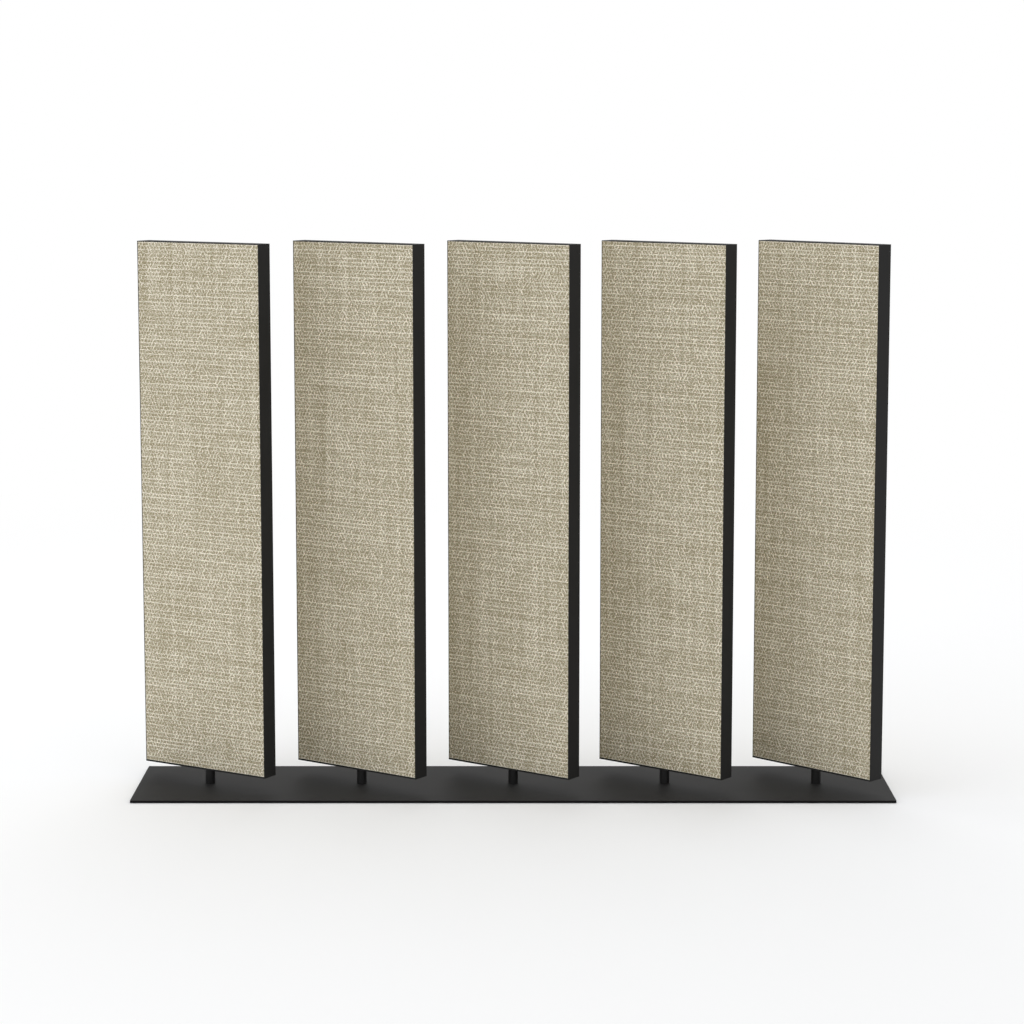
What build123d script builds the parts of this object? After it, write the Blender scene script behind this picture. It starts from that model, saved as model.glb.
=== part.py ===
import os
from math import sqrt

from build123d import *

# Room divider: a row of upholstered panels on one base plate, where each panel turns on its own post.
# X runs along the base, +Y points away from the front, +Z is up.
# The origin lies on the floor, under the centre of the base plate. Lengths are in millimetres.

# The row of panels, with the angle in degrees by which each one is turned at rest
rest_angles = (31.0, 34.5, 36.0, 38.0, 44.0)
panel_count = len(rest_angles)
post_pitch = 405.0
closed_gap = 10.0
panel_width = post_pitch - closed_gap
panel_height = 1400.0
panel_depth = 50.0

# Base plate, which reaches equally far past the end posts, to the front and to the back
base_margin = 190.0
base_length = (panel_count - 1) * post_pitch + 2 * base_margin
base_depth = 2 * base_margin
plate_thickness = 6.0
plate_corner_radius = 3.0
plate_edge_chamfer = 0.6

# Glide pads under the plate
pad_width = 40.0
pad_thickness = 1.5
pad_inset = 35.0
pad_columns = 5
pad_rows = 2

# Post, with a thinner spigot that runs up inside the panel
post_diameter = 26.0
panel_clearance = 41.5
spigot_diameter = 16.0
spigot_length = 600.0
spigot_chamfer = 1.5

# Countersunk screw that holds each post from below
screw_diameter = 8.0
screw_head_diameter = 16.0
screw_length = 25.0
screw_cone_angle = 90.0
socket_across_flats = 5.0
socket_depth = 3.0
screw_clearance = 0.2
thread_clearance = 0.05

# Bushes and thrust washer, which carry the panel on the post
running_clearance = 0.05
seat_clearance = 0.05
bush_wall = 1.9
bush_length = 40.0
bush_flange_thickness = 1.5
bush_rim_inset = 0.5
bush_top_margin = 8.0
washer_thickness = 1.0
axial_play = 0.1

# Square pivot tube, welded to a foot plate at each end
tube_wall = 1.0
tube_side_gap = 0.5
foot_length = 90.0

# Frame profile: an outer web, a groove behind each face for the cover's edge, a channel between them
web_thickness = 1.8
profile_wall = 1.5
groove_width = 3.2
channel_depth = 4.7
slot_width = 10.0
web_corner_chamfer = 0.5
nose_chamfer = 0.5

# The bottom rail's web is thicker than the others: a sill lies under it, across the whole panel
sill_thickness = 2.5

# Corner cleats, held in the channel
cleat_leg = 60.0
cleat_clearance = 0.2

# Fabric covers, each with a stiff strip sewn round its edge, and the core slab between them
cover_thickness = 1.2
cover_clearance = 0.1
cover_edge_chamfer = 0.8
core_clearance = 0.3

# Cuts run past the faces they open by this much
overrun = 1.0

# Widths that follow from the spigot outwards
bush_bore = spigot_diameter + 2 * running_clearance
bush_width = bush_bore + 2 * bush_wall
tube_bore = bush_width + 2 * seat_clearance
tube_width = tube_bore + 2 * tube_wall
channel_width = tube_width + 2 * tube_side_gap
groove_depth = (panel_depth - channel_width) / 2 - profile_wall

# Heights above the floor
plate_top = pad_thickness + plate_thickness
sill_bottom = plate_top + panel_clearance
washer_seat = sill_bottom - bush_flange_thickness - axial_play - washer_thickness
panel_bottom = sill_bottom + sill_thickness

# Depths into the profile, from the panel's outer edge
groove_wall_inset = web_thickness + groove_width
lip_inset = web_thickness + channel_depth
profile_height = lip_inset + profile_wall


# Base plate, with a countersunk hole from below for the screw of each post
with BuildPart() as base_plate:
    with BuildSketch(Plane.XY.offset(pad_thickness)):
        RectangleRounded(base_length, base_depth, plate_corner_radius)
    extrude(amount=plate_thickness)
    chamfer(base_plate.faces().sort_by(Axis.Z)[-1].edges(), plate_edge_chamfer)
    with Locations(Plane((0, 0, pad_thickness), z_dir=(0, 0, -1))):
        with GridLocations(post_pitch, 0, panel_count, 1):
            CounterSinkHole(
                screw_diameter / 2 + screw_clearance,
                screw_head_diameter / 2 + screw_clearance,
                counter_sink_angle=screw_cone_angle,
            )

# Glide pads, in rows along the front and the back of the plate
with BuildPart() as glide_pads:
    with BuildSketch():
        with GridLocations(
            (base_length - 2 * pad_inset) / (pad_columns - 1),
            (base_depth - 2 * pad_inset) / (pad_rows - 1),
            pad_columns,
            pad_rows,
        ):
            Rectangle(pad_width, pad_width)
    extrude(amount=pad_thickness)

# Post, turned from one bar: foot, shoulder and spigot, with a tapped hole in its foot
with BuildPart() as post:
    with BuildSketch(Plane.XY.offset(plate_top)):
        Circle(post_diameter / 2)
    extrude(amount=washer_seat - plate_top)
    with BuildSketch(Plane.XY.offset(washer_seat)):
        Circle(spigot_diameter / 2)
    extrude(amount=spigot_length)
    chamfer(post.edges().sort_by(Axis.Z)[-1], spigot_chamfer)
    with BuildSketch(Plane.XY.offset(plate_top)):
        Circle(screw_diameter / 2 + thread_clearance)
    extrude(amount=screw_length - plate_thickness + overrun, mode=Mode.SUBTRACT)

# The countersunk screw of one post, head down, with a hexagon socket
screw_cone_height = (screw_head_diameter - screw_diameter) / 2
with BuildPart() as screw:
    with BuildSketch(Plane.XZ):
        with BuildLine():
            Polyline(
                (0, pad_thickness),
                (screw_head_diameter / 2, pad_thickness),
                (screw_diameter / 2, pad_thickness + screw_cone_height),
                (screw_diameter / 2, pad_thickness + screw_length),
                (0, pad_thickness + screw_length),
                close=True,
            )
        make_face()
    revolve(axis=Axis.Z)
    with BuildSketch(Plane.XY.offset(pad_thickness)):
        RegularPolygon(socket_across_flats / 2, 6, major_radius=False)
    extrude(amount=socket_depth, mode=Mode.SUBTRACT)

# The screws of all posts
with BuildPart() as post_screws:
    with GridLocations(post_pitch, 0, panel_count, 1):
        add(screw.part)

# Thrust washers, one on the shoulder of each post
with BuildPart() as thrust_washers:
    with BuildSketch(Plane.XY.offset(washer_seat)):
        with GridLocations(post_pitch, 0, panel_count, 1):
            Circle(post_diameter / 2)
            Circle(bush_bore / 2 + seat_clearance, mode=Mode.SUBTRACT)
    extrude(amount=washer_thickness)


# From here on, pieces are drawn for one panel that isn't turned.
# Its origin is where the post's axis meets the top of the panel's sill.
left_edge = -panel_width / 2
lower_left_mitre = Plane((left_edge, 0, 0), z_dir=(-1, 0, 1))
upper_left_mitre = Plane((left_edge, 0, panel_height), z_dir=(-1, 0, -1))
lower_right_mitre = Plane((-left_edge, 0, 0), z_dir=(1, 0, 1))
mid_height = Plane.XY.offset(panel_height / 2)

# Section of the frame profile: local X runs through the panel, local Y from its edge inwards
with BuildSketch() as frame_section:
    Rectangle(panel_depth, web_thickness, align=(Align.CENTER, Align.MIN))
    chamfer(frame_section.vertices().group_by(Axis.Y)[0], web_corner_chamfer)
    for side in (-1, 1):
        with Locations((side * (channel_width + profile_wall) / 2, 0)):
            Rectangle(profile_wall, profile_height, align=(Align.CENTER, Align.MIN))
        with Locations((side * (channel_width / 2 + profile_wall), groove_wall_inset)):
            Rectangle(
                groove_depth - cover_thickness - cover_clearance,
                profile_wall,
                align=(Align.MIN if side > 0 else Align.MAX, Align.MIN),
            )
        with Locations((side * slot_width / 2, lip_inset)):
            Rectangle(
                (channel_width - slot_width) / 2,
                profile_wall,
                align=(Align.MIN if side > 0 else Align.MAX, Align.MIN),
            )
    wall_noses = frame_section.vertices().filter_by_position(
        Axis.Y, groove_wall_inset, groove_wall_inset + profile_wall
    )
    wall_noses = wall_noses.sort_by(Axis.X)
    chamfer(wall_noses[:2] + wall_noses[-2:], nose_chamfer)

# Left stile, with a mitre at both ends
with BuildPart() as left_stile:
    with BuildSketch(Plane((left_edge, 0, panel_height), x_dir=(0, 1, 0), z_dir=(0, 0, -1))):
        add(frame_section.sketch)
    extrude(amount=panel_height)
    split(bisect_by=lower_left_mitre, keep=Keep.TOP)
    split(bisect_by=upper_left_mitre, keep=Keep.TOP)

# Right stile, the left one mirrored
with BuildPart() as right_stile:
    mirror(left_stile.part, about=Plane.YZ)

# A rail as it leaves the saw, with the lips notched for the pivot tube
with BuildPart() as plain_rail:
    with BuildSketch(Plane((left_edge, 0, 0), x_dir=(0, 1, 0), z_dir=(1, 0, 0))):
        add(frame_section.sketch)
    extrude(amount=panel_width)
    split(bisect_by=lower_left_mitre, keep=Keep.BOTTOM)
    split(bisect_by=lower_right_mitre, keep=Keep.BOTTOM)
    with BuildSketch(Plane.XY.offset(lip_inset)):
        Rectangle(channel_width, channel_width)
    extrude(amount=profile_wall + overrun, mode=Mode.SUBTRACT)

# Top rail
with BuildPart() as top_rail:
    mirror(plain_rail.part, about=mid_height)

# Bottom rail: a plain one on its sill, with a square hole through both for the lower bush
with BuildPart() as bottom_rail:
    add(plain_rail.part)
    with BuildSketch(Plane((left_edge, 0, 0), x_dir=(0, 1, 0), z_dir=(1, 0, 0))):
        with Locations((0, -sill_thickness)):
            Rectangle(panel_depth, sill_thickness + web_corner_chamfer, align=(Align.CENTER, Align.MIN))
    extrude(amount=panel_width)
    split(bisect_by=lower_left_mitre, keep=Keep.BOTTOM)
    split(bisect_by=lower_right_mitre, keep=Keep.BOTTOM)
    sill_edges = bottom_rail.edges().filter_by(Axis.X).group_by(Axis.Z)[0]
    chamfer(sill_edges, web_corner_chamfer)
    with BuildSketch(Plane.XY.offset(-sill_thickness)):
        Rectangle(tube_bore, tube_bore)
    extrude(amount=sill_thickness + web_thickness, mode=Mode.SUBTRACT)

# Corner cleats: an L in each corner of the frame, in the channels of a stile and a rail
cleat_seat = web_thickness + cleat_clearance
cleat_thickness = channel_depth - 2 * cleat_clearance
cleat_width = channel_width - 2 * cleat_clearance
with BuildPart() as corner_cleats:
    with BuildSketch(Plane.XZ):
        with Locations((left_edge + cleat_seat, cleat_seat)):
            Rectangle(cleat_leg, cleat_leg, align=(Align.MIN, Align.MIN))
        with Locations((left_edge + cleat_seat + cleat_thickness, cleat_seat + cleat_thickness)):
            Rectangle(cleat_leg, cleat_leg, align=(Align.MIN, Align.MIN), mode=Mode.SUBTRACT)
    extrude(amount=cleat_width / 2, both=True)
    mirror(about=Plane.YZ)
    mirror(about=mid_height)

# Pivot tube between its two foot plates, which slide into the channels of the rails
tube_start = cleat_seat + cleat_thickness
with BuildPart() as pivot_tube:
    with BuildSketch(Plane.XY.offset(cleat_seat)):
        Rectangle(foot_length, cleat_width)
    extrude(amount=cleat_thickness)
    with BuildSketch(Plane.XY.offset(tube_start)):
        Rectangle(tube_width, tube_width)
    extrude(amount=panel_height / 2 - tube_start)
    with BuildSketch(Plane.XY.offset(cleat_seat)):
        Rectangle(tube_bore, tube_bore)
    extrude(amount=panel_height / 2 - cleat_seat, mode=Mode.SUBTRACT)
    mirror(about=mid_height)

# Bushes, square outside and bored round: a flanged one at the tube's foot and one near the spigot's top
bush_rim_bottom = -sill_thickness - bush_flange_thickness
upper_bush_base = washer_seat + spigot_length - panel_bottom - bush_top_margin - bush_length
with BuildPart() as bushes:
    with BuildSketch(Plane.XY.offset(-sill_thickness), Plane.XY.offset(upper_bush_base)):
        Rectangle(bush_width, bush_width)
    extrude(amount=bush_length)
    with BuildSketch(Plane.XY.offset(bush_rim_bottom)):
        Circle(post_diameter / 2 - bush_rim_inset)
    extrude(amount=bush_flange_thickness)
    with BuildSketch(Plane.XY.offset(bush_rim_bottom)):
        Circle(bush_bore / 2)
    extrude(amount=spigot_length, mode=Mode.SUBTRACT)

# Core slab, bored for the pivot tube
core_inset = profile_height + core_clearance
with BuildPart() as core:
    with BuildSketch(Plane.XY.offset(core_inset)):
        Rectangle(panel_width - 2 * core_inset, panel_depth - 2 * cover_thickness)
        Rectangle(tube_width + 2 * core_clearance, tube_width + 2 * core_clearance, mode=Mode.SUBTRACT)
    extrude(amount=panel_height - 2 * core_inset)

# Front cover: a taut sheet of fabric whose stiff edge strip is pressed into the groove
cover_inset = web_thickness + cover_clearance
strip_thickness = groove_width - 2 * cover_clearance
cover_width = panel_width - 2 * cover_inset
cover_height = panel_height - 2 * cover_inset
with BuildPart() as front_cover:
    with BuildSketch(Plane.XZ.offset(panel_depth / 2)):
        with Locations((0, panel_height / 2)):
            Rectangle(cover_width, cover_height)
    extrude(amount=cover_clearance - groove_depth)
    with BuildSketch(Plane.XZ.offset(panel_depth / 2 - cover_thickness)):
        with Locations((0, panel_height / 2)):
            Rectangle(cover_width - 2 * strip_thickness, cover_height - 2 * strip_thickness)
    extrude(amount=-groove_depth, mode=Mode.SUBTRACT)
    chamfer(front_cover.faces().sort_by(Axis.Y)[0].edges(), cover_edge_chamfer)

# Back cover, the front one mirrored
with BuildPart() as back_cover:
    mirror(front_cover.part, about=Plane.XZ)


# Sizes that depend on each other, printed for whoever changes one
swing_diameter = sqrt(panel_width**2 + panel_depth**2)
print(f"neighbouring panels clear each other by {post_pitch - swing_diameter:.2f} mm in a full turn")
print(f"groove {groove_depth:.2f} mm deep, channel {channel_width:.2f} mm wide")

# Every finished piece goes into a file of its own
os.makedirs("parts", exist_ok=True)
base_plate.part.label = "base_plate"
export_step(base_plate.part, "parts/base_plate.step")
glide_pads.part.label = "glide_pads"
export_step(glide_pads.part, "parts/glide_pads.step")
post_screws.part.label = "post_screws"
export_step(post_screws.part, "parts/post_screws.step")
thrust_washers.part.label = "thrust_washers"
export_step(thrust_washers.part, "parts/thrust_washers.step")

panel_pieces = {
    "left_stile": left_stile,
    "right_stile": right_stile,
    "top_rail": top_rail,
    "bottom_rail": bottom_rail,
    "corner_cleats": corner_cleats,
    "pivot_tube": pivot_tube,
    "bushes": bushes,
    "core": core,
    "front_cover": front_cover,
    "back_cover": back_cover,
}
for index, angle in enumerate(rest_angles):
    number = index + 1
    post_x = (index - (panel_count - 1) / 2) * post_pitch
    placed_post = post.part.moved(Location((post_x, 0, 0)))
    placed_post.label = f"post_{number}"
    export_step(placed_post, f"parts/post_{number}.step")
    for name, piece in panel_pieces.items():
        placed = piece.part.moved(Location((post_x, 0, panel_bottom), (0, 0, -angle)))
        placed.label = f"{name}_{number}"
        export_step(placed, f"parts/{name}_{number}.step")
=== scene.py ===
from math import atan2, pi, radians

import bpy
from bpy.props import (
    FloatProperty,
    FloatVectorProperty,
    IntProperty,
    PointerProperty,
)
from mathutils import Matrix, Vector


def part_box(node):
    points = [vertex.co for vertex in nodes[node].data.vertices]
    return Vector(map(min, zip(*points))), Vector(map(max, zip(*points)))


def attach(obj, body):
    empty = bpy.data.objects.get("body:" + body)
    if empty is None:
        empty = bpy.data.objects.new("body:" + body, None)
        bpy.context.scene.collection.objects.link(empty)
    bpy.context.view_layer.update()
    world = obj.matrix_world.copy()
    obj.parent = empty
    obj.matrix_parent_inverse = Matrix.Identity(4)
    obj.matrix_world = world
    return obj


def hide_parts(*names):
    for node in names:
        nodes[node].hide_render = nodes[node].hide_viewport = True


bl_info = {
    "name": "Row of turning panels",
    "version": (1, 0, 0),
    "blender": (4, 5, 0),
    "location": "View3D > Sidebar > Divider",
    "description": "Dresses a room divider of five upholstered panels on one base plate",
    "category": "Object",
}

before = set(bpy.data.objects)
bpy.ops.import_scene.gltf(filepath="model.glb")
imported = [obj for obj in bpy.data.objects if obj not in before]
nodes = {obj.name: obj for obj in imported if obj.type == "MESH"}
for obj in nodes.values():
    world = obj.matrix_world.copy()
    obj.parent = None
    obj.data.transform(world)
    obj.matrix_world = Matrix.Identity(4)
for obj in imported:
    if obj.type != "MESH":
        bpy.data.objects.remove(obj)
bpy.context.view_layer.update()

PANELS = (1, 2, 3, 4, 5)
FRAME_PIECES = ("left_stile", "right_stile", "top_rail", "bottom_rail")

# The roll of a cover's edge is drawn in three steps, and one more reaches down the groove
ROLL_STEPS = 3.0
EDGE_STEPS = ROLL_STEPS + 1.0

# Points of the cloth's mesh that lie closer together than this become one
WELD_DISTANCE = 0.00001

# Each cover is cut from its own place on the bolt, counted in floats across and rows up
BOLT_ACROSS = 47.0
BOLT_UP = 149.0
BOLT_START = 11.0

# The warp strays in waves and the wefts by a share of it, less in the last steps to the edge
WANDER_SCALE = (0.45, 0.4, 0.0)
WEFT_WANDER = 0.22
EDGE_CALM_STEPS = 8.0

# Bands of warp floats slip along the cloth, and each float leans a little
BAND_SLIP = 0.12
SLIP_SEED = 3.0
FLOAT_LEAN = 1.5

# The pale wefts swell in long slubs and short lumps, spaced per float along and per row up
SLUB_SCALE = (0.055, 1.37, 0.0)
LUMP_SCALE = (0.9, 2.17, 0.0)
LUMP_HEIGHT = 0.8

# Half width and height of the pale yarns at the least, and what they gain at the most
WEFT_WIDTH = 0.22
WEFT_WIDTH_GAIN = 0.06
WEFT_HEIGHT = 0.46
WEFT_HEIGHT_GAIN = 0.3
FLOAT_WIDTH = 0.24
FLOAT_WIDTH_GAIN = 0.14
FLOAT_HEIGHT = 0.22
FLOAT_HEIGHT_GAIN = 0.7
CROSSING_GAIN = 0.2

# Heights between which the dull weft gives way to the pale yarns
PALE_HEIGHTS = (0.1, 0.3)

# Where a pale weft and a float cross, the higher one is seen alone once it leads by this much
CLEAR_LEAD = 0.05

# The plies of a yarn: how often they wind along it, and how much they slant across it
PALE_PLIES = (5.0, 6.0)
DULL_PLIES = (3.0, 3.5)

# The cloth's tone at the pits, and what it gains up to the highest yarns: partly the pale yarns'
# own colour over the dull weft, partly painted shade that darkens the pits and the yarns' low sides
PIT_TONE_AND_SHADE = 0.11
TONE_AND_SHADE_GAIN = 0.76

# Changes of tone: how often they come per float and per row, and how strong they are
TUFT_SCALE = (3.1, 3.4, 0.0)
TUFT_TONE = 1.85
FIBRE_SCALE = 24.0
FIBRE_TONE = 0.55
PLY_TONE = 0.06
PATCHES = ((1.0, 1.1, 0.0), 0.05)
STRIPES = ((0.75, 0.02, 0.0), 0.22)
ROWS = ((0.03, 0.9, 0.0), 0.2)

# The tufts differ a little in hue, around a level that leaves the cloth's mean hue as it is
HUE_SHARE = 0.24
HUE_LEVEL = (1.125, 1.125, 1.12)

# The finest relief of the cloth, in shares of the yarns' height, and its depth
PLY_RELIEF = 0.14
FIBRE_RELIEF = 0.3
RELIEF_DEPTH = 0.0006

# The frame's coat is rubbed in patches, between these distances from the panel's middle plane
RUBBED_DEPTHS = (0.0238, 0.0249)
RUBBED_PATCHES = (0.4, 0.62)
RUBBED_COAT = (0.03, 0.03, 0.03)
RUBBED_SHARE = 0.5
RUBBED_POLISH = 0.08

# The plate's coat is painted darker near its rim, a painted shade for the shadow along and under
# its edge, and is rougher there, fully up to the first of these distances
RIM_WIDTHS = (0.0001, 0.0006)
RIM_SHADE_COAT = (0.003, 0.003, 0.003)
RIM_SHADE_SHARE = 0.8
RIM_ROUGHNESS = 0.2

# Most of a smooth noise lies between these values
NOISE_RANGE = (0.3, 0.7)

# Numbers of the two colour inputs and of the colour output on a Mix node
MIX_FIRST = 6
MIX_SECOND = 7
MIX_COLOUR = 2


class DividerCloth(bpy.types.PropertyGroup):
    """Sizes and colours of the woven covers"""

    face_width: FloatProperty(
        name="Face width",
        description="Width of a cover between the frame's two stiles",
        default=0.3912,
        unit="LENGTH",
        precision=4,
    )
    face_height: FloatProperty(
        name="Face height",
        description="Height of a cover between the frame's two rails",
        default=1.3962,
        unit="LENGTH",
        precision=4,
    )
    panel_depth: FloatProperty(
        name="Panel depth",
        description="Depth of a panel from the front cover's face to the back cover's",
        default=0.05,
        unit="LENGTH",
        precision=4,
    )
    edge_radius: FloatProperty(
        name="Edge radius",
        description="Radius of the roll where the cloth turns into the frame's groove",
        default=0.001,
        unit="LENGTH",
        precision=4,
    )
    tuck_depth: FloatProperty(
        name="Tuck depth",
        description="Depth to which the cloth's edge reaches into the groove",
        default=0.0117,
        unit="LENGTH",
        precision=4,
    )
    columns: IntProperty(
        name="Columns",
        description="Steps of the cloth's mesh from the middle of a face to its side",
        default=76,
        min=8,
    )
    rows: IntProperty(
        name="Rows",
        description="Steps of the cloth's mesh from the middle of a face to its top",
        default=213,
        min=8,
    )
    column_steps: IntProperty(
        name="Steps per float",
        description="Steps of the cloth's mesh from one warp float to the next",
        default=4,
        min=1,
    )
    row_steps: IntProperty(
        name="Steps per row",
        description="Steps of the cloth's mesh from one pale weft to the next",
        default=3,
        min=1,
    )
    yarn_rise: FloatProperty(
        name="Yarn rise",
        description="How far the thickest yarns stand proud of the face",
        default=0.0005,
        unit="LENGTH",
        precision=4,
    )
    pit_depth: FloatProperty(
        name="Pit depth",
        description="How far the pits between the yarns lie below the face",
        default=0.0008,
        unit="LENGTH",
        precision=4,
    )
    wander: FloatProperty(
        name="Wander",
        description="How far the warp strays from straight lines",
        default=0.005,
        unit="LENGTH",
        precision=4,
    )
    pale_yarn: FloatVectorProperty(
        name="Pale yarn",
        description="Colour of the thin wefts and the warp floats",
        default=(0.943, 0.894, 0.759),
        size=3,
        min=0,
        max=1,
        subtype="COLOR",
    )
    dull_yarn: FloatVectorProperty(
        name="Dull yarn",
        description="Colour of the thick wefts below",
        default=(0.272, 0.2305, 0.1325),
        size=3,
        min=0,
        max=1,
        subtype="COLOR",
    )


class DividerFinish(bpy.types.PropertyGroup):
    """Colours and grain of the metal, plastic and felt pieces"""

    frame_coat: FloatVectorProperty(
        name="Frame coat",
        description="Colour of the satin coat on the panel frames",
        default=(0.0162, 0.0158, 0.0154),
        size=3,
        min=0,
        max=1,
        subtype="COLOR",
    )
    plate_coat: FloatVectorProperty(
        name="Plate coat",
        description="Colour of the matte coat on the base plate",
        default=(0.024, 0.0237, 0.0233),
        size=3,
        min=0,
        max=1,
        subtype="COLOR",
    )
    post_coat: FloatVectorProperty(
        name="Post coat",
        description="Colour of the satin coat on the posts",
        default=(0.006, 0.006, 0.006),
        size=3,
        min=0,
        max=1,
        subtype="COLOR",
    )
    bare_steel: FloatVectorProperty(
        name="Bare steel",
        description="Colour of the brushed steel pieces inside the panels",
        default=(0.56, 0.56, 0.55),
        size=3,
        min=0,
        max=1,
        subtype="COLOR",
    )
    plastic: FloatVectorProperty(
        name="Plastic",
        description="Colour of the moulded bushes and washers",
        default=(0.02, 0.02, 0.021),
        size=3,
        min=0,
        max=1,
        subtype="COLOR",
    )
    rubber: FloatVectorProperty(
        name="Rubber",
        description="Colour of the glide pads",
        default=(0.022, 0.021, 0.02),
        size=3,
        min=0,
        max=1,
        subtype="COLOR",
    )
    felt: FloatVectorProperty(
        name="Core felt",
        description="Colour of the pressed felt of the cores",
        default=(0.52, 0.51, 0.48),
        size=3,
        min=0,
        max=1,
        subtype="COLOR",
    )
    coat_grain: FloatProperty(
        name="Coat grain",
        description="Distance between the small bumps of the coats",
        default=0.0012,
        unit="LENGTH",
        precision=4,
    )


class DividerStage(bpy.types.PropertyGroup):
    """Floor, light and camera"""

    floor_size: FloatProperty(
        name="Floor size",
        description="Length of each side of the floor",
        default=80.0,
        unit="LENGTH",
    )
    floor_colour: FloatVectorProperty(
        name="Floor colour",
        description="Colour of the floor near the object",
        default=(0.902, 0.907, 0.914),
        size=3,
        min=0,
        max=1,
        subtype="COLOR",
    )
    fade_start: FloatProperty(
        name="Fade start",
        description="Distance from the middle at which the floor starts to turn white",
        default=1.6,
        unit="LENGTH",
    )
    fade_end: FloatProperty(
        name="Fade end",
        description="Distance from the middle at which the floor is white",
        default=6.0,
        unit="LENGTH",
    )
    room_light: FloatProperty(
        name="Room light",
        description="Strength of the even white light from all sides",
        default=0.954,
        min=0,
    )
    side_power: FloatProperty(
        name="Side lamp power",
        description="Power of the broad lamp at the front left",
        default=32.0,
        min=0,
        unit="POWER",
    )
    top_power: FloatProperty(
        name="Top lamp power",
        description="Power of the broad lamp above the object",
        default=41.0,
        min=0,
        unit="POWER",
    )
    back_power: FloatProperty(
        name="Back lamp power",
        description="Power of the broad lamp behind the object",
        default=38.0,
        min=0,
        unit="POWER",
    )
    side_place: FloatVectorProperty(
        name="Side lamp place",
        description="Where the lamp at the front left hangs",
        default=(-5.0, -4.0, 2.0),
        size=3,
        subtype="TRANSLATION",
        unit="LENGTH",
    )
    top_place: FloatVectorProperty(
        name="Top lamp place",
        description="Where the lamp above the object hangs",
        default=(-1.7, -0.2, 6.0),
        size=3,
        subtype="TRANSLATION",
        unit="LENGTH",
    )
    back_place: FloatVectorProperty(
        name="Back lamp place",
        description="Where the lamp behind the object hangs",
        default=(0.0, 4.5, 4.5),
        size=3,
        subtype="TRANSLATION",
        unit="LENGTH",
    )
    lamp_aim: FloatVectorProperty(
        name="Lamp aim",
        description="The point that every lamp is turned to",
        default=(0.0, 0.0, 0.7),
        size=3,
        subtype="TRANSLATION",
        unit="LENGTH",
    )
    lamp_size: FloatProperty(
        name="Lamp size",
        description="Width of each broad lamp",
        default=4.0,
        unit="LENGTH",
    )
    camera_place: FloatVectorProperty(
        name="Camera place",
        description="Where the camera stands",
        default=(-0.003, -7.0974, 1.781),
        size=3,
        subtype="TRANSLATION",
        unit="LENGTH",
    )
    camera_tilt: FloatProperty(
        name="Camera tilt",
        description="How far the camera looks down from level",
        default=radians(7.456),
        subtype="ANGLE",
        unit="ROTATION",
    )
    camera_lens: FloatProperty(
        name="Focal length",
        description="Focal length of the camera",
        default=95.44,
        subtype="DISTANCE_CAMERA",
    )
    camera_shift: FloatProperty(
        name="Camera shift",
        description="Shift of the picture up or down, as a share of its width",
        default=-0.041,
    )
    sensor_width: FloatProperty(
        name="Sensor width",
        description="Width of the camera's sensor",
        default=36.0,
        subtype="DISTANCE_CAMERA",
    )
    camera_reach: FloatProperty(
        name="Camera reach",
        description="How far the camera sees",
        default=200.0,
        unit="LENGTH",
    )


def feed(tree, value, socket):
    """Joins another node's output to a socket, or sets the socket to a plain value."""
    if isinstance(value, bpy.types.NodeSocket):
        tree.links.new(value, socket)
    else:
        socket.default_value = value


def calc(tree, operation, *values):
    """One step of arithmetic on numbers or sockets."""
    node = tree.nodes.new("ShaderNodeMath")
    node.operation = operation
    for value, socket in zip(values, node.inputs):
        feed(tree, value, socket)
    return node.outputs[0]


def sway(tree, pattern, amount, middle):
    """A value that follows a noise around one half to both sides of a middle value."""
    return calc(tree, "MULTIPLY_ADD", calc(tree, "SUBTRACT", pattern, 0.5), amount, middle)


def vector(tree, x, y, z=0.0):
    """Three numbers made into one vector."""
    node = tree.nodes.new("ShaderNodeCombineXYZ")
    for value, socket in zip((x, y, z), node.inputs):
        feed(tree, value, socket)
    return node.outputs[0]


def parts(tree, value):
    """The three numbers of a vector."""
    node = tree.nodes.new("ShaderNodeSeparateXYZ")
    feed(tree, value, node.inputs[0])
    return node.outputs[0], node.outputs[1], node.outputs[2]


def stretch(tree, value, factors):
    """A vector or a colour, each of its numbers times a factor of its own."""
    node = tree.nodes.new("ShaderNodeVectorMath")
    node.operation = "MULTIPLY"
    feed(tree, value, node.inputs[0])
    feed(tree, factors, node.inputs[1])
    return node.outputs[0]


def noise(tree, place, scale=1.0, detail=0.0, flat=False):
    """Smooth noise around one half: a number and three separate channels."""
    node = tree.nodes.new("ShaderNodeTexNoise")
    node.noise_dimensions = "2D" if flat else "3D"
    feed(tree, place, node.inputs["Vector"])
    node.inputs["Scale"].default_value = scale
    node.inputs["Detail"].default_value = detail
    return node.outputs[0], node.outputs[1]


def span(tree, value, low, high, to_low=0.0, to_high=1.0, smooth=True):
    """Carries a value from one range to another and holds it at both ends."""
    node = tree.nodes.new("ShaderNodeMapRange")
    node.interpolation_type = "SMOOTHSTEP" if smooth else "LINEAR"
    for data, socket in zip((value, low, high, to_low, to_high), node.inputs):
        feed(tree, data, socket)
    return node.outputs[0]


def blend(tree, factor, first, second, kind="MIX"):
    """Mixes two colours."""
    node = tree.nodes.new("ShaderNodeMix")
    node.data_type = "RGBA"
    node.blend_type = kind
    feed(tree, factor, node.inputs[0])
    for data, number in ((first, MIX_FIRST), (second, MIX_SECOND)):
        opaque = data if isinstance(data, bpy.types.NodeSocket) else (*data, 1.0)
        feed(tree, opaque, node.inputs[number])
    return node.outputs[MIX_COLOUR]


def between(tree, share, first, second):
    """The number that lies a share of the way from the first to the second."""
    return calc(tree, "MULTIPLY_ADD", calc(tree, "SUBTRACT", second, first), share, first)


def shaded(tree, colour, *patterns):
    """A colour made lighter and darker by noises, each given with its amount."""
    shade = 1.0
    for pattern, amount in patterns:
        shade = sway(tree, pattern, amount, shade)
    return stretch(tree, tuple(colour), vector(tree, shade, shade, shade))


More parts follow.
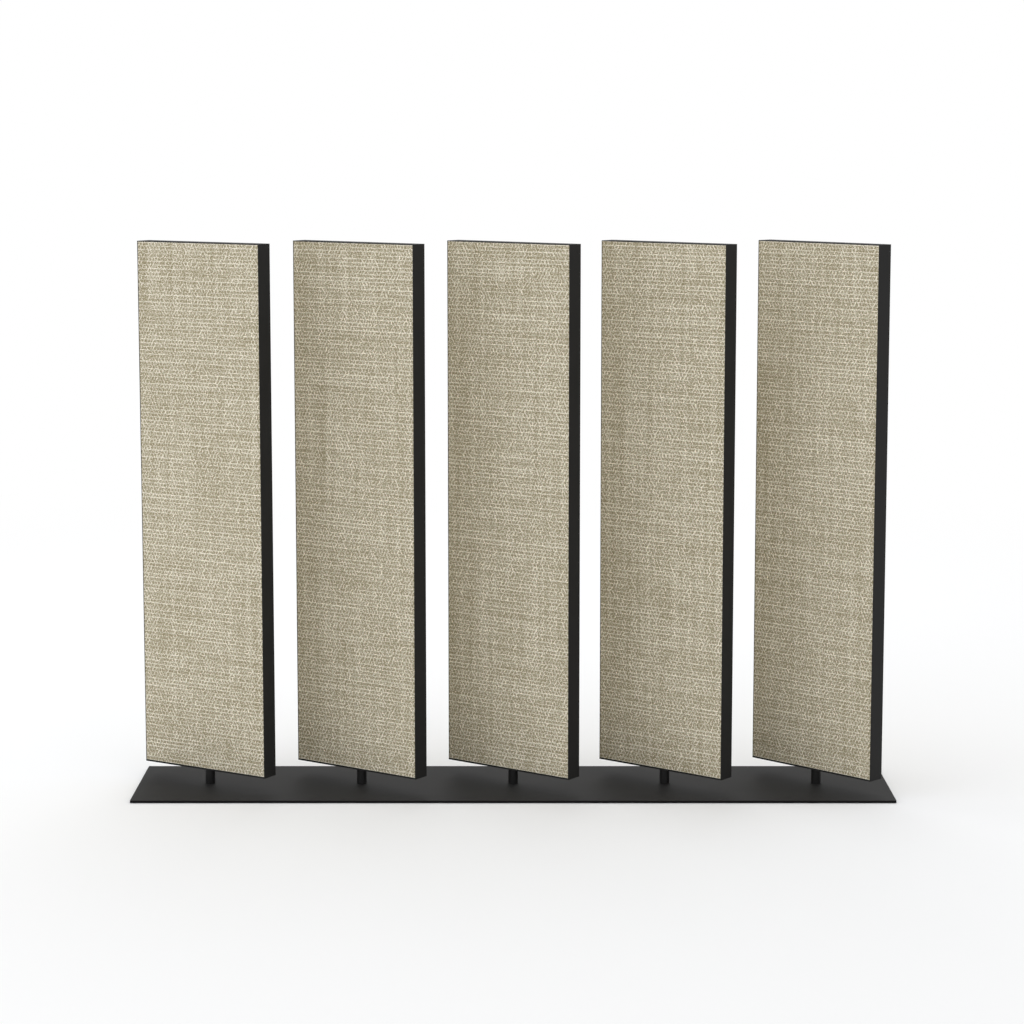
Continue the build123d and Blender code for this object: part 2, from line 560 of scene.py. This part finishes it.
def chance(tree, place):
    """Three unrelated numbers for each whole place."""
    node = tree.nodes.new("ShaderNodeTexWhiteNoise")
    node.noise_dimensions = "2D"
    feed(tree, place, node.inputs["Vector"])
    return parts(tree, node.outputs["Color"])


def weave(tree, yarn):
    """The cloth's surface at a place that is counted in warp floats and rows of weft.

    Thin pale wefts lie at whole counts. In the band between two of them runs a thick dull weft,
    and pale warp floats rise over it, shifted by half a count from one band to the next.
    """
    along, up, _ = parts(tree, yarn)
    line = calc(tree, "ROUND", up)
    off_line = calc(tree, "SUBTRACT", up, line)
    band = calc(tree, "FLOOR", up)
    in_band = calc(tree, "SUBTRACT", calc(tree, "SUBTRACT", up, band), 0.5)
    slip = chance(tree, vector(tree, band, SLIP_SEED))[0]
    shift = calc(tree, "MULTIPLY", calc(tree, "FLOORED_MODULO", band, 2.0), 0.5)
    shift = calc(tree, "MULTIPLY_ADD", slip, BAND_SLIP, shift)
    moved = calc(tree, "ADD", along, shift)
    column = calc(tree, "ROUND", moved)
    size, width, lean = chance(tree, vector(tree, column, band))
    lean = calc(tree, "MULTIPLY_ADD", lean, FLOAT_LEAN, -FLOAT_LEAN / 2)
    off_float = calc(tree, "MULTIPLY_ADD", lean, in_band, calc(tree, "SUBTRACT", moved, column))
    on_line = vector(tree, along, line)
    slow = stretch(tree, on_line, SLUB_SCALE)
    quick = stretch(tree, on_line, LUMP_SCALE)
    slub = span(tree, noise(tree, slow, flat=True)[0], *NOISE_RANGE)
    lump = noise(tree, quick, flat=True)[0]
    line_width = calc(tree, "MULTIPLY_ADD", slub, WEFT_WIDTH_GAIN, WEFT_WIDTH)
    line_shape = span(tree, calc(tree, "ABSOLUTE", off_line), 0.0, line_width, 1.0, 0.0)
    line_top = calc(tree, "MULTIPLY_ADD", slub, WEFT_HEIGHT_GAIN, WEFT_HEIGHT)
    line_top = sway(tree, lump, LUMP_HEIGHT, line_top)
    float_width = calc(tree, "MULTIPLY_ADD", width, FLOAT_WIDTH_GAIN, FLOAT_WIDTH)
    float_shape = span(tree, calc(tree, "ABSOLUTE", off_float), 0.0, float_width, 1.0, 0.0)
    float_top = calc(tree, "MULTIPLY_ADD", size, FLOAT_HEIGHT_GAIN, FLOAT_HEIGHT)
    pale_weft = calc(tree, "MULTIPLY", line_shape, line_top)
    warp_float = calc(tree, "MULTIPLY", float_shape, float_top)
    higher = calc(tree, "MAXIMUM", pale_weft, warp_float)
    both = calc(tree, "MULTIPLY", calc(tree, "MINIMUM", pale_weft, warp_float), CROSSING_GAIN)
    return {
        "height": calc(tree, "ADD", higher, both),
        "pale_weft": pale_weft,
        "warp_float": warp_float,
        "off_line": off_line,
        "in_band": in_band,
        "off_float": off_float,
        "along": along,
        "up": up,
    }


def new_finish(name, slot, roughness=0.5, metal=0.0, specular=0.5):
    """A fresh material with one shader, whose plain values are set on its own sockets."""
    material = bpy.data.materials.new(name)
    material.use_nodes = True
    tree = material.node_tree
    shader = tree.nodes["Principled BSDF"]
    shader.inputs["Roughness"].default_value = roughness
    shader.inputs["Metallic"].default_value = metal
    shader.inputs["Specular IOR Level"].default_value = specular
    material["divider_slot"] = slot
    return material, tree, shader


def place_on_piece(tree, number=None):
    """Object coordinates, or with a number those of one panel, from the middle of its foot."""
    place = tree.nodes.new("ShaderNodeTexCoord").outputs["Object"]
    if number is None:
        return place
    centre, angle = panel_place(number)
    mapping = tree.nodes.new("ShaderNodeMapping")
    mapping.vector_type = "TEXTURE"
    mapping.inputs["Location"].default_value = centre
    mapping.inputs["Rotation"].default_value = (0.0, 0.0, angle)
    tree.links.new(place, mapping.inputs["Vector"])
    return mapping.outputs[0]


def bump(tree, shader, height, depth):
    """Relief that is too fine for the mesh."""
    node = tree.nodes.new("ShaderNodeBump")
    node.inputs["Strength"].default_value = 1.0
    node.inputs["Distance"].default_value = depth
    feed(tree, height, node.inputs["Height"])
    tree.links.new(node.outputs[0], shader.inputs["Normal"])


def wear(names, material):
    """Puts a finish on CAD pieces, in each of their material slots."""
    for name in names:
        piece = nodes[name]
        if not piece.material_slots:
            raise RuntimeError(f"{name} has no material slot")
        for slot in piece.material_slots:
            slot.material = material


def brushed_steel(finish, name, slot, lines, dark, rough, depth, detail=2.0):
    """Bare steel with fine lines in it that differ in tone and in gloss."""
    material, tree, shader = new_finish(name, slot, metal=1.0)
    place = place_on_piece(tree)
    brushed = noise(tree, stretch(tree, place, lines), detail=detail)[0]
    colour = blend(tree, span(tree, brushed, *NOISE_RANGE), finish.bare_steel, dark)
    tree.links.new(colour, shader.inputs["Base Color"])
    tree.links.new(span(tree, brushed, *NOISE_RANGE, *rough), shader.inputs["Roughness"])
    bump(tree, shader, brushed, depth=depth)
    return material


def panel_place(number):
    """Where a panel's post meets its underside, and the angle by which the panel is turned."""
    left = sum(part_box(f"left_stile_{number}"), Vector()) / 2
    right = sum(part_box(f"right_stile_{number}"), Vector()) / 2
    post = sum(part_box(f"post_{number}"), Vector()) / 2
    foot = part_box(f"bottom_rail_{number}")[0].z
    return Vector((post.x, post.y, foot)), atan2(right.y - left.y, right.x - left.x)


def twist(tree, lengthwise, sideways, plies, slant):
    """Light and dark of the plies that wind round a yarn."""
    turn = calc(tree, "MULTIPLY_ADD", lengthwise, plies, calc(tree, "MULTIPLY", sideways, slant))
    return calc(tree, "SINE", calc(tree, "MULTIPLY", turn, 2 * pi))


def cloth_material(cloth):
    """Melange weave: pale wefts and warp floats over thick dull wefts, spun from mixed fibres."""
    material, tree, shader = new_finish("woven_cloth", "cover", roughness=0.92, specular=0.25)
    uv = tree.nodes.new("ShaderNodeUVMap")
    uv.uv_map = "yarn"
    yarn = uv.outputs[0]
    made = weave(tree, yarn)
    pale = span(tree, made["height"], *PALE_HEIGHTS)
    lead = calc(tree, "SUBTRACT", made["pale_weft"], made["warp_float"])
    weft_leads = span(tree, lead, -CLEAR_LEAD, CLEAR_LEAD)
    line_ply = twist(tree, made["along"], made["off_line"], *PALE_PLIES)
    float_ply = twist(tree, made["up"], made["off_float"], *PALE_PLIES)
    dull_ply = twist(tree, made["along"], made["in_band"], *DULL_PLIES)
    ply = between(tree, weft_leads, float_ply, line_ply)
    ply = between(tree, pale, dull_ply, ply)
    # Tufts of mixed fibres, patches, stripes of the warp, rows of the weft, and single fibres
    fibre = noise(tree, yarn, scale=FIBRE_SCALE, detail=2.0, flat=True)[0]
    tuft, tuft_hue = noise(tree, stretch(tree, yarn, TUFT_SCALE), detail=1.0, flat=True)
    # The tone climbs with the yarns' height: the pale yarns over the dull weft, plus painted shade
    # in the pits and on the yarns' sides
    tone_and_shade = calc(tree, "MULTIPLY_ADD", made["height"], TONE_AND_SHADE_GAIN, PIT_TONE_AND_SHADE)
    tone_and_shade = sway(tree, tuft, TUFT_TONE, tone_and_shade)
    for scale, amount in (PATCHES, STRIPES, ROWS):
        pattern = noise(tree, stretch(tree, yarn, scale), flat=True)[0]
        tone_and_shade = sway(tree, pattern, amount, tone_and_shade)
    tone_and_shade = sway(tree, fibre, FIBRE_TONE, tone_and_shade)
    tone_and_shade = calc(tree, "MULTIPLY_ADD", ply, PLY_TONE, tone_and_shade)
    tone_and_shade = calc(tree, "MINIMUM", calc(tree, "MAXIMUM", tone_and_shade, 0.0), 1.0)
    colour = blend(tree, tone_and_shade, cloth.dull_yarn, cloth.pale_yarn)
    hue = blend(tree, HUE_SHARE, HUE_LEVEL, tuft_hue)
    colour = blend(tree, 1.0, colour, hue, kind="MULTIPLY")
    tree.links.new(colour, shader.inputs["Base Color"])
    rough = span(tree, made["height"], 0.0, 1.0, 0.98, 0.86, smooth=False)
    tree.links.new(rough, shader.inputs["Roughness"])
    shader.inputs["Sheen Weight"].default_value = 0.1
    shader.inputs["Sheen Roughness"].default_value = 0.5
    relief = calc(tree, "MULTIPLY_ADD", ply, PLY_RELIEF, made["height"])
    relief = calc(tree, "MULTIPLY_ADD", fibre, FIBRE_RELIEF, relief)
    bump(tree, shader, relief, depth=RELIEF_DEPTH)
    return material


def group_socket(tree, name, kind, value=None):
    """Adds a named input to a node tree, with its default where it has one."""
    socket = tree.interface.new_socket(name, in_out="INPUT", socket_type=kind)
    if value is not None:
        socket.default_value = value


def fold(tree, step, count, reach, radius, tuck):
    """One direction of the cloth: flat as far as the roll, round it, and straight down the groove.

    Gives the place across the face, the drop below it, the way along the cloth, the length of a
    step, and the shares in which the yarns stand out and stray there.
    """
    away = calc(tree, "ABSOLUTE", step)
    side = calc(tree, "SIGN", step)
    flat_reach = calc(tree, "SUBTRACT", reach, radius)
    flat_step = calc(tree, "DIVIDE", flat_reach, count)
    inner = calc(tree, "MULTIPLY", calc(tree, "MINIMUM", away, count), flat_step)
    beyond = calc(tree, "MAXIMUM", calc(tree, "SUBTRACT", away, count), 0.0)
    share = calc(tree, "DIVIDE", calc(tree, "MINIMUM", beyond, ROLL_STEPS), ROLL_STEPS)
    angle = calc(tree, "MULTIPLY", share, pi / 2)
    down = calc(tree, "MAXIMUM", calc(tree, "SUBTRACT", beyond, ROLL_STEPS), 0.0)
    down = calc(tree, "MULTIPLY", down, calc(tree, "SUBTRACT", tuck, radius))
    place = calc(tree, "MULTIPLY_ADD", calc(tree, "SINE", angle), radius, inner)
    level = calc(tree, "MULTIPLY", calc(tree, "COSINE", angle), radius)
    drop = calc(tree, "ADD", calc(tree, "SUBTRACT", radius, level), down)
    run = calc(tree, "ADD", calc(tree, "MULTIPLY_ADD", angle, radius, inner), down)
    return {
        "place": calc(tree, "MULTIPLY", place, side),
        "drop": drop,
        "way": calc(tree, "MULTIPLY", run, side),
        "step": flat_step,
        "relief": span(tree, calc(tree, "SUBTRACT", away, count), 0.0, 1.0, 1.0, 0.0, smooth=False),
        "stray": span(tree, calc(tree, "SUBTRACT", count, away), 0.0, EDGE_CALM_STEPS),
    }


def cover_tree(cloth):
    """A taut woven sheet whose yarns stand out, with its edges rolled into the groove."""
    tree = bpy.data.node_groups.new("woven_cover", "GeometryNodeTree")
    group_socket(tree, "Face Width", "NodeSocketFloat", cloth.face_width)
    group_socket(tree, "Face Height", "NodeSocketFloat", cloth.face_height)
    group_socket(tree, "Edge Radius", "NodeSocketFloat", cloth.edge_radius)
    group_socket(tree, "Tuck Depth", "NodeSocketFloat", cloth.tuck_depth)
    group_socket(tree, "Columns", "NodeSocketInt", cloth.columns)
    group_socket(tree, "Rows", "NodeSocketInt", cloth.rows)
    group_socket(tree, "Steps Per Float", "NodeSocketInt", cloth.column_steps)
    group_socket(tree, "Steps Per Row", "NodeSocketInt", cloth.row_steps)
    group_socket(tree, "Yarn Rise", "NodeSocketFloat", cloth.yarn_rise)
    group_socket(tree, "Pit Depth", "NodeSocketFloat", cloth.pit_depth)
    group_socket(tree, "Wander", "NodeSocketFloat", cloth.wander)
    group_socket(tree, "Place On Bolt", "NodeSocketVector")
    group_socket(tree, "Material", "NodeSocketMaterial")
    tree.interface.new_socket("Geometry", in_out="OUTPUT", socket_type="NodeSocketGeometry")
    given = tree.nodes.new("NodeGroupInput").outputs
    grid = tree.nodes.new("GeometryNodeMeshGrid")
    for count, size, vertices in (
        ("Columns", "Size X", "Vertices X"),
        ("Rows", "Size Y", "Vertices Y"),
    ):
        steps = calc(tree, "MULTIPLY", calc(tree, "ADD", given[count], EDGE_STEPS), 2.0)
        tree.links.new(steps, grid.inputs[size])
        tree.links.new(calc(tree, "ADD", steps, 1.0), grid.inputs[vertices])
    grid_x, grid_y, _ = parts(tree, tree.nodes.new("GeometryNodeInputPosition").outputs[0])
    step_x = calc(tree, "ROUND", grid_x)
    step_y = calc(tree, "ROUND", grid_y)
    half_width = calc(tree, "MULTIPLY", given["Face Width"], 0.5)
    half_height = calc(tree, "MULTIPLY", given["Face Height"], 0.5)
    edge = (given["Edge Radius"], given["Tuck Depth"])
    across = fold(tree, step_x, given["Columns"], half_width, *edge)
    upward = fold(tree, step_y, given["Rows"], half_height, *edge)
    warp_pitch = calc(tree, "MULTIPLY", across["step"], given["Steps Per Float"])
    weft_pitch = calc(tree, "MULTIPLY", upward["step"], given["Steps Per Row"])
    count_u = calc(tree, "DIVIDE", across["way"], warp_pitch)
    count_v = calc(tree, "DIVIDE", upward["way"], weft_pitch)
    shifted = tree.nodes.new("ShaderNodeVectorMath")
    feed(tree, vector(tree, count_u, count_v), shifted.inputs[0])
    feed(tree, given["Place On Bolt"], shifted.inputs[1])
    yarn = shifted.outputs[0]
    # The yarn count goes along with the mesh as its UV map
    store = tree.nodes.new("GeometryNodeStoreNamedAttribute")
    store.data_type = "FLOAT2"
    store.domain = "CORNER"
    store.inputs["Name"].default_value = "yarn"
    tree.links.new(grid.outputs["Mesh"], store.inputs["Geometry"])
    tree.links.new(yarn, store.inputs["Value"])
    # The corner squares, which a fitted cover doesn't have, are cut out face by face
    past_side = calc(tree, "SUBTRACT", calc(tree, "ABSOLUTE", grid_x), given["Columns"])
    past_end = calc(tree, "SUBTRACT", calc(tree, "ABSOLUTE", grid_y), given["Rows"])
    past_both = calc(tree, "MINIMUM", past_side, past_end)
    in_corner = calc(tree, "GREATER_THAN", past_both, ROLL_STEPS + 0.25)
    cut = tree.nodes.new("GeometryNodeDeleteGeometry")
    cut.domain = "FACE"
    tree.links.new(store.outputs["Geometry"], cut.inputs["Geometry"])
    tree.links.new(in_corner, cut.inputs["Selection"])
    made = weave(tree, yarn)
    pit_to_top = calc(tree, "ADD", given["Yarn Rise"], given["Pit Depth"])
    lift = calc(tree, "MULTIPLY", made["height"], pit_to_top)
    lift = calc(tree, "SUBTRACT", lift, given["Pit Depth"])
    lift = calc(tree, "MULTIPLY", lift, calc(tree, "MULTIPLY", across["relief"], upward["relief"]))
    drift = noise(tree, stretch(tree, yarn, WANDER_SCALE), flat=True)[1]
    drift_x, drift_y, _ = parts(tree, drift)
    stray = calc(tree, "MULTIPLY", across["stray"], upward["stray"])
    warp_stray = calc(tree, "MULTIPLY", stray, given["Wander"])
    weft_stray = calc(tree, "MULTIPLY", warp_stray, WEFT_WANDER)
    place_x = sway(tree, drift_x, warp_stray, across["place"])
    place_y = sway(tree, drift_y, weft_stray, upward["place"])
    height = calc(tree, "SUBTRACT", lift, calc(tree, "MAXIMUM", across["drop"], upward["drop"]))
    place = tree.nodes.new("GeometryNodeSetPosition")
    tree.links.new(cut.outputs["Geometry"], place.inputs["Geometry"])
    tree.links.new(vector(tree, place_x, place_y, height), place.inputs["Position"])
    weld = tree.nodes.new("GeometryNodeMergeByDistance")
    weld.inputs["Distance"].default_value = WELD_DISTANCE
    tree.links.new(place.outputs["Geometry"], weld.inputs["Geometry"])
    smooth = tree.nodes.new("GeometryNodeSetShadeSmooth")
    tree.links.new(weld.outputs["Geometry"], smooth.inputs["Geometry"])
    real = tree.nodes.new("GeometryNodeRealizeInstances")
    tree.links.new(smooth.outputs["Geometry"], real.inputs["Geometry"])
    dress = tree.nodes.new("GeometryNodeSetMaterial")
    tree.links.new(real.outputs["Geometry"], dress.inputs["Geometry"])
    tree.links.new(given["Material"], dress.inputs["Material"])
    out = tree.nodes.new("NodeGroupOutput")
    tree.links.new(dress.outputs["Geometry"], out.inputs[0])
    return tree


def grow(name, tree, values):
    """Runs a node tree with its inputs set by name, and keeps the plain mesh that it makes."""
    seed_mesh = bpy.data.meshes.new(f"{name}_seed")
    grower = bpy.data.objects.new(f"{name}_grower", seed_mesh)
    bpy.context.scene.collection.objects.link(grower)
    modifier = grower.modifiers.new("growth", "NODES")
    modifier.node_group = tree
    inputs = [item for item in tree.interface.items_tree if item.in_out == "INPUT"]
    keys = {item.name: item.identifier for item in inputs}
    for key, value in values.items():
        modifier[keys[key]] = value
    depsgraph = bpy.context.evaluated_depsgraph_get()
    mesh = bpy.data.meshes.new_from_object(grower.evaluated_get(depsgraph), depsgraph=depsgraph)
    grower.modifiers.remove(modifier)
    bpy.data.objects.remove(grower)
    bpy.data.meshes.remove(seed_mesh)
    if not mesh.polygons:
        raise RuntimeError(f"{name} has no faces")
    mesh.name = name
    piece = bpy.data.objects.new(name, mesh)
    bpy.context.scene.collection.objects.link(piece)
    return piece


class DIVIDER_OT_covers(bpy.types.Operator):
    """Weaves the front and back cover of every panel"""

    bl_idname = "divider.covers"
    bl_label = "Woven covers"

    def execute(self, context):
        cloth = context.scene.divider_cloth
        material = cloth_material(cloth)
        tree = cover_tree(cloth)
        for number in PANELS:
            foot, angle = panel_place(number)
            low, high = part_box(f"core_{number}")
            rise = (low.z + high.z) / 2
            for side, turned in (("front", 0.0), ("back", pi)):
                index = 2 * number + (side == "back")
                on_bolt = (BOLT_ACROSS * index, BOLT_START + BOLT_UP * index, 0.0)
                given = {"Place On Bolt": on_bolt, "Material": material}
                piece = grow(f"{side}_fabric_{number}", tree, given)
                stand = (
                    Matrix.Translation((foot.x, foot.y, rise))
                    @ Matrix.Rotation(angle + turned, 4, "Z")
                    @ Matrix.Translation((0.0, -cloth.panel_depth / 2, 0.0))
                    @ Matrix.Rotation(pi / 2, 4, "X")
                )
                piece.data.transform(stand)
                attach(piece, f"panel_{number}")
                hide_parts(f"{side}_cover_{number}")
        return {"FINISHED"}


class DIVIDER_OT_frames(bpy.types.Operator):
    """Finishes the stiles and rails of every panel with a satin black coat"""

    bl_idname = "divider.frames"
    bl_label = "Panel frames"

    def execute(self, context):
        finish = context.scene.divider_finish
        for number in PANELS:
            material, tree, shader = new_finish(f"satin_coat_{number}", "frame", specular=0.14)
            place = place_on_piece(tree, number)
            grain = noise(tree, place, scale=1.0 / finish.coat_grain, detail=1.0)[0]
            cloud = noise(tree, place, scale=9.0, detail=3.0)[0]
            depth = calc(tree, "ABSOLUTE", parts(tree, place)[1])
            near_corner = span(tree, depth, *RUBBED_DEPTHS)
            rubbed = calc(tree, "MULTIPLY", near_corner, span(tree, cloud, *RUBBED_PATCHES))
            colour = shaded(tree, finish.frame_coat, (cloud, 0.5), (grain, 0.5))
            colour = blend(tree, calc(tree, "MULTIPLY", rubbed, RUBBED_SHARE), colour, RUBBED_COAT)
            tree.links.new(colour, shader.inputs["Base Color"])
            rough = sway(tree, cloud, amount=0.16, middle=0.72)
            rough = calc(tree, "MULTIPLY_ADD", rubbed, -RUBBED_POLISH, rough)
            tree.links.new(rough, shader.inputs["Roughness"])
            bump(tree, shader, grain, depth=0.00003)
            wear([f"{piece}_{number}" for piece in FRAME_PIECES], material)
        return {"FINISHED"}


class DIVIDER_OT_base(bpy.types.Operator):
    """Finishes the base plate with a fine-grained matte coat and the pads under it as rubber"""

    bl_idname = "divider.base"
    bl_label = "Base plate and pads"

    def execute(self, context):
        finish = context.scene.divider_finish
        material, tree, shader = new_finish("matte_coat", "base", specular=0.095)
        place = place_on_piece(tree)
        grain = noise(tree, place, scale=1.0 / finish.coat_grain, detail=2.0)[0]
        cloud = noise(tree, place, scale=5.0, detail=3.0)[0]
        x, y, _ = parts(tree, place)
        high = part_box("base_plate")[1]
        to_side = calc(tree, "SUBTRACT", high.x, calc(tree, "ABSOLUTE", x))
        to_front = calc(tree, "SUBTRACT", high.y, calc(tree, "ABSOLUTE", y))
        to_rim = calc(tree, "MINIMUM", to_side, to_front)
        # Painted shade: the rim is darkened in colour for the shadow along the plate's edge and
        # under it
        edge = span(tree, to_rim, *RIM_WIDTHS, 1.0, 0.0)
        colour = shaded(tree, finish.plate_coat, (cloud, 0.4), (grain, 0.9))
        colour = blend(tree, calc(tree, "MULTIPLY", edge, RIM_SHADE_SHARE), colour, RIM_SHADE_COAT)
        tree.links.new(colour, shader.inputs["Base Color"])
        rough = sway(tree, cloud, amount=0.12, middle=0.64)
        rough = calc(tree, "MULTIPLY_ADD", edge, RIM_ROUGHNESS, rough)
        tree.links.new(rough, shader.inputs["Roughness"])
        bump(tree, shader, grain, depth=0.00006)
        wear(["base_plate"], material)
        material, tree, shader = new_finish("pad_rubber", "pad", roughness=0.8, specular=0.35)
        place = place_on_piece(tree)
        speck = noise(tree, place, scale=700.0, detail=2.0)[0]
        dust = span(tree, speck, 0.35, 0.7)
        colour = blend(tree, dust, finish.rubber, (0.045, 0.044, 0.042))
        tree.links.new(colour, shader.inputs["Base Color"])
        bump(tree, shader, speck, depth=0.0001)
        wear(["glide_pads"], material)
        return {"FINISHED"}


class DIVIDER_OT_pivots(bpy.types.Operator):
    """Finishes the posts, their screws, the thrust washers and the bushes"""

    bl_idname = "divider.pivots"
    bl_label = "Posts and bearings"

    def execute(self, context):
        finish = context.scene.divider_finish
        material, tree, shader = new_finish("post_coat", "post", specular=0.35)
        place = place_on_piece(tree)
        turned = noise(tree, stretch(tree, place, (20.0, 20.0, 1400.0)), detail=1.0)[0]
        cloud = noise(tree, place, scale=30.0, detail=2.0)[0]
        colour = shaded(tree, finish.post_coat, (cloud, 0.6), (turned, 0.4))
        tree.links.new(colour, shader.inputs["Base Color"])
        rough = sway(tree, cloud, amount=0.2, middle=0.4)
        tree.links.new(rough, shader.inputs["Roughness"])
        bump(tree, shader, turned, depth=0.00002)
        wear([f"post_{number}" for number in PANELS], material)
        material, tree, shader = new_finish("moulded_plastic", "bush", specular=0.4)
        place = place_on_piece(tree)
        speck = noise(tree, place, scale=1600.0, detail=1.0)[0]
        flow = noise(tree, stretch(tree, place, (60.0, 60.0, 15.0)), detail=2.0)[0]
        mottle = span(tree, flow, *NOISE_RANGE)
        colour = blend(tree, mottle, finish.plastic, (0.035, 0.035, 0.037))
        tree.links.new(colour, shader.inputs["Base Color"])
        rough = span(tree, speck, 0.2, 0.8, 0.42, 0.6)
        tree.links.new(rough, shader.inputs["Roughness"])
        bump(tree, shader, speck, depth=0.00002)
        wear(["thrust_washers", *(f"bushes_{number}" for number in PANELS)], material)
        material = brushed_steel(
            finish,
            "screw_steel",
            "screw",
            lines=(900.0, 900.0, 2500.0),
            dark=(0.4, 0.4, 0.41),
            rough=(0.28, 0.42),
            depth=0.00001,
            detail=1.0,
        )
        wear(["post_screws"], material)
        return {"FINISHED"}


class DIVIDER_OT_inner(bpy.types.Operator):
    """Finishes the pieces inside the panels: cores, corner cleats and pivot tubes"""

    bl_idname = "divider.inner"
    bl_label = "Cores, cleats and pivot tubes"

    def execute(self, context):
        finish = context.scene.divider_finish
        material, tree, shader = new_finish("core_felt", "core", roughness=0.97, specular=0.15)
        place = place_on_piece(tree)
        fibre = noise(tree, stretch(tree, place, (900.0, 900.0, 260.0)), detail=2.0)[0]
        clump = noise(tree, place, scale=45.0, detail=3.0)[0]
        colour = shaded(tree, finish.felt, (fibre, 0.7), (clump, 0.4))
        tree.links.new(colour, shader.inputs["Base Color"])
        bump(tree, shader, fibre, depth=0.0003)
        wear([f"core_{number}" for number in PANELS], material)
        for name, slot, piece, lines in (
            ("cleat_steel", "cleat", "corner_cleats", (1500.0, 1500.0, 40.0)),
            ("tube_steel", "tube", "pivot_tube", (1200.0, 1200.0, 12.0)),
        ):
            material = brushed_steel(
                finish,
                name,
                slot,
                lines=lines,
                dark=(0.44, 0.44, 0.45),
                rough=(0.3, 0.46),
                depth=0.00002,
            )
            wear([f"{piece}_{number}" for number in PANELS], material)
        return {"FINISHED"}


class DIVIDER_OT_stage(bpy.types.Operator):
    """Lays the pale floor, sets the soft light and places the camera"""

    bl_idname = "divider.stage"
    bl_label = "Floor, light and camera"

    def execute(self, context):
        scene = context.scene
        stage = scene.divider_stage
        scene.view_settings.view_transform = "Standard"
        half = stage.floor_size / 2
        mesh = bpy.data.meshes.new("floor")
        mesh.from_pydata(
            [(-half, -half, 0.0), (half, -half, 0.0), (half, half, 0.0), (-half, half, 0.0)],
            [],
            [(0, 1, 2, 3)],
        )
        floor = bpy.data.objects.new("floor", mesh)
        scene.collection.objects.link(floor)
        material = bpy.data.materials.new("floor")
        material.use_nodes = True
        tree = material.node_tree
        shader = tree.nodes["Principled BSDF"]
        shader.inputs["Base Color"].default_value = (*stage.floor_colour, 1.0)
        shader.inputs["Roughness"].default_value = 1.0
        shader.inputs["Specular IOR Level"].default_value = 0.0
        # Far from the object, the floor passes into the white behind it
        x, y, _ = parts(tree, tree.nodes.new("ShaderNodeTexCoord").outputs["Object"])
        far = calc(tree, "SQRT", calc(tree, "MULTIPLY_ADD", x, x, calc(tree, "MULTIPLY", y, y)))
        share = span(tree, far, stage.fade_start, stage.fade_end)
        white = tree.nodes.new("ShaderNodeEmission")
        mix = tree.nodes.new("ShaderNodeMixShader")
        tree.links.new(share, mix.inputs[0])
        tree.links.new(shader.outputs[0], mix.inputs[1])
        tree.links.new(white.outputs[0], mix.inputs[2])
        tree.links.new(mix.outputs[0], tree.nodes["Material Output"].inputs["Surface"])
        mesh.materials.append(material)
        world = bpy.data.worlds.new("room")
        world.use_nodes = True
        scene.world = world
        tree = world.node_tree
        ray = tree.nodes.new("ShaderNodeLightPath").outputs
        seen = calc(tree, "MAXIMUM", ray["Is Camera Ray"], ray["Is Glossy Ray"])
        seen = calc(tree, "MAXIMUM", seen, ray["Is Transmission Ray"])
        strength = span(tree, seen, 0.0, 1.0, stage.room_light, 1.0, smooth=False)
        back = tree.nodes["Background"]
        back.inputs["Color"].default_value = (1.0, 1.0, 1.0, 1.0)
        tree.links.new(strength, back.inputs["Strength"])
        for name, power, place in (
            ("side_lamp", stage.side_power, stage.side_place),
            ("top_lamp", stage.top_power, stage.top_place),
            ("back_lamp", stage.back_power, stage.back_place),
        ):
            lamp_data = bpy.data.lights.new(name, "AREA")
            lamp_data.energy = power
            lamp_data.shape = "DISK"
            lamp_data.size = stage.lamp_size
            lamp = bpy.data.objects.new(name, lamp_data)
            lamp.location = place
            lamp.rotation_mode = "QUATERNION"
            aim = Vector(stage.lamp_aim) - lamp.location
            lamp.rotation_quaternion = aim.to_track_quat("-Z", "Y")
            scene.collection.objects.link(lamp)
        camera_data = bpy.data.cameras.new("camera")
        camera_data.sensor_width = stage.sensor_width
        camera_data.lens = stage.camera_lens
        camera_data.shift_y = stage.camera_shift
        camera_data.clip_end = stage.camera_reach
        camera = bpy.data.objects.new("camera", camera_data)
        camera.location = stage.camera_place
        camera.rotation_euler = (pi / 2 - stage.camera_tilt, 0.0, 0.0)
        scene.collection.objects.link(camera)
        scene.camera = camera
        return {"FINISHED"}


class DIVIDER_PT_panel(bpy.types.Panel):
    """Lists the steps that dress the divider"""

    bl_idname = "DIVIDER_PT_panel"
    bl_label = "Room divider"
    bl_space_type = "VIEW_3D"
    bl_region_type = "UI"
    bl_category = "Divider"

    def draw(self, context):
        for step in OPERATORS:
            self.layout.operator(step.bl_idname)
        scene = context.scene
        for group in (scene.divider_cloth, scene.divider_finish, scene.divider_stage):
            box = self.layout.box()
            for name in group.__annotations__:
                box.prop(group, name)


OPERATORS = (
    DIVIDER_OT_stage,
    DIVIDER_OT_covers,
    DIVIDER_OT_frames,
    DIVIDER_OT_base,
    DIVIDER_OT_pivots,
    DIVIDER_OT_inner,
)
SETTINGS = (DividerCloth, DividerFinish, DividerStage)


def register():
    for item in (*SETTINGS, *OPERATORS, DIVIDER_PT_panel):
        bpy.utils.register_class(item)
    bpy.types.Scene.divider_cloth = PointerProperty(type=DividerCloth)
    bpy.types.Scene.divider_finish = PointerProperty(type=DividerFinish)
    bpy.types.Scene.divider_stage = PointerProperty(type=DividerStage)


def unregister():
    del bpy.types.Scene.divider_stage
    del bpy.types.Scene.divider_finish
    del bpy.types.Scene.divider_cloth
    for item in reversed((*SETTINGS, *OPERATORS, DIVIDER_PT_panel)):
        bpy.utils.unregister_class(item)


def main():
    register()
    bpy.ops.divider.stage()
    bpy.ops.divider.covers()
    bpy.ops.divider.frames()
    bpy.ops.divider.base()
    bpy.ops.divider.pivots()
    bpy.ops.divider.inner()


if __name__ == "__main__":
    main()
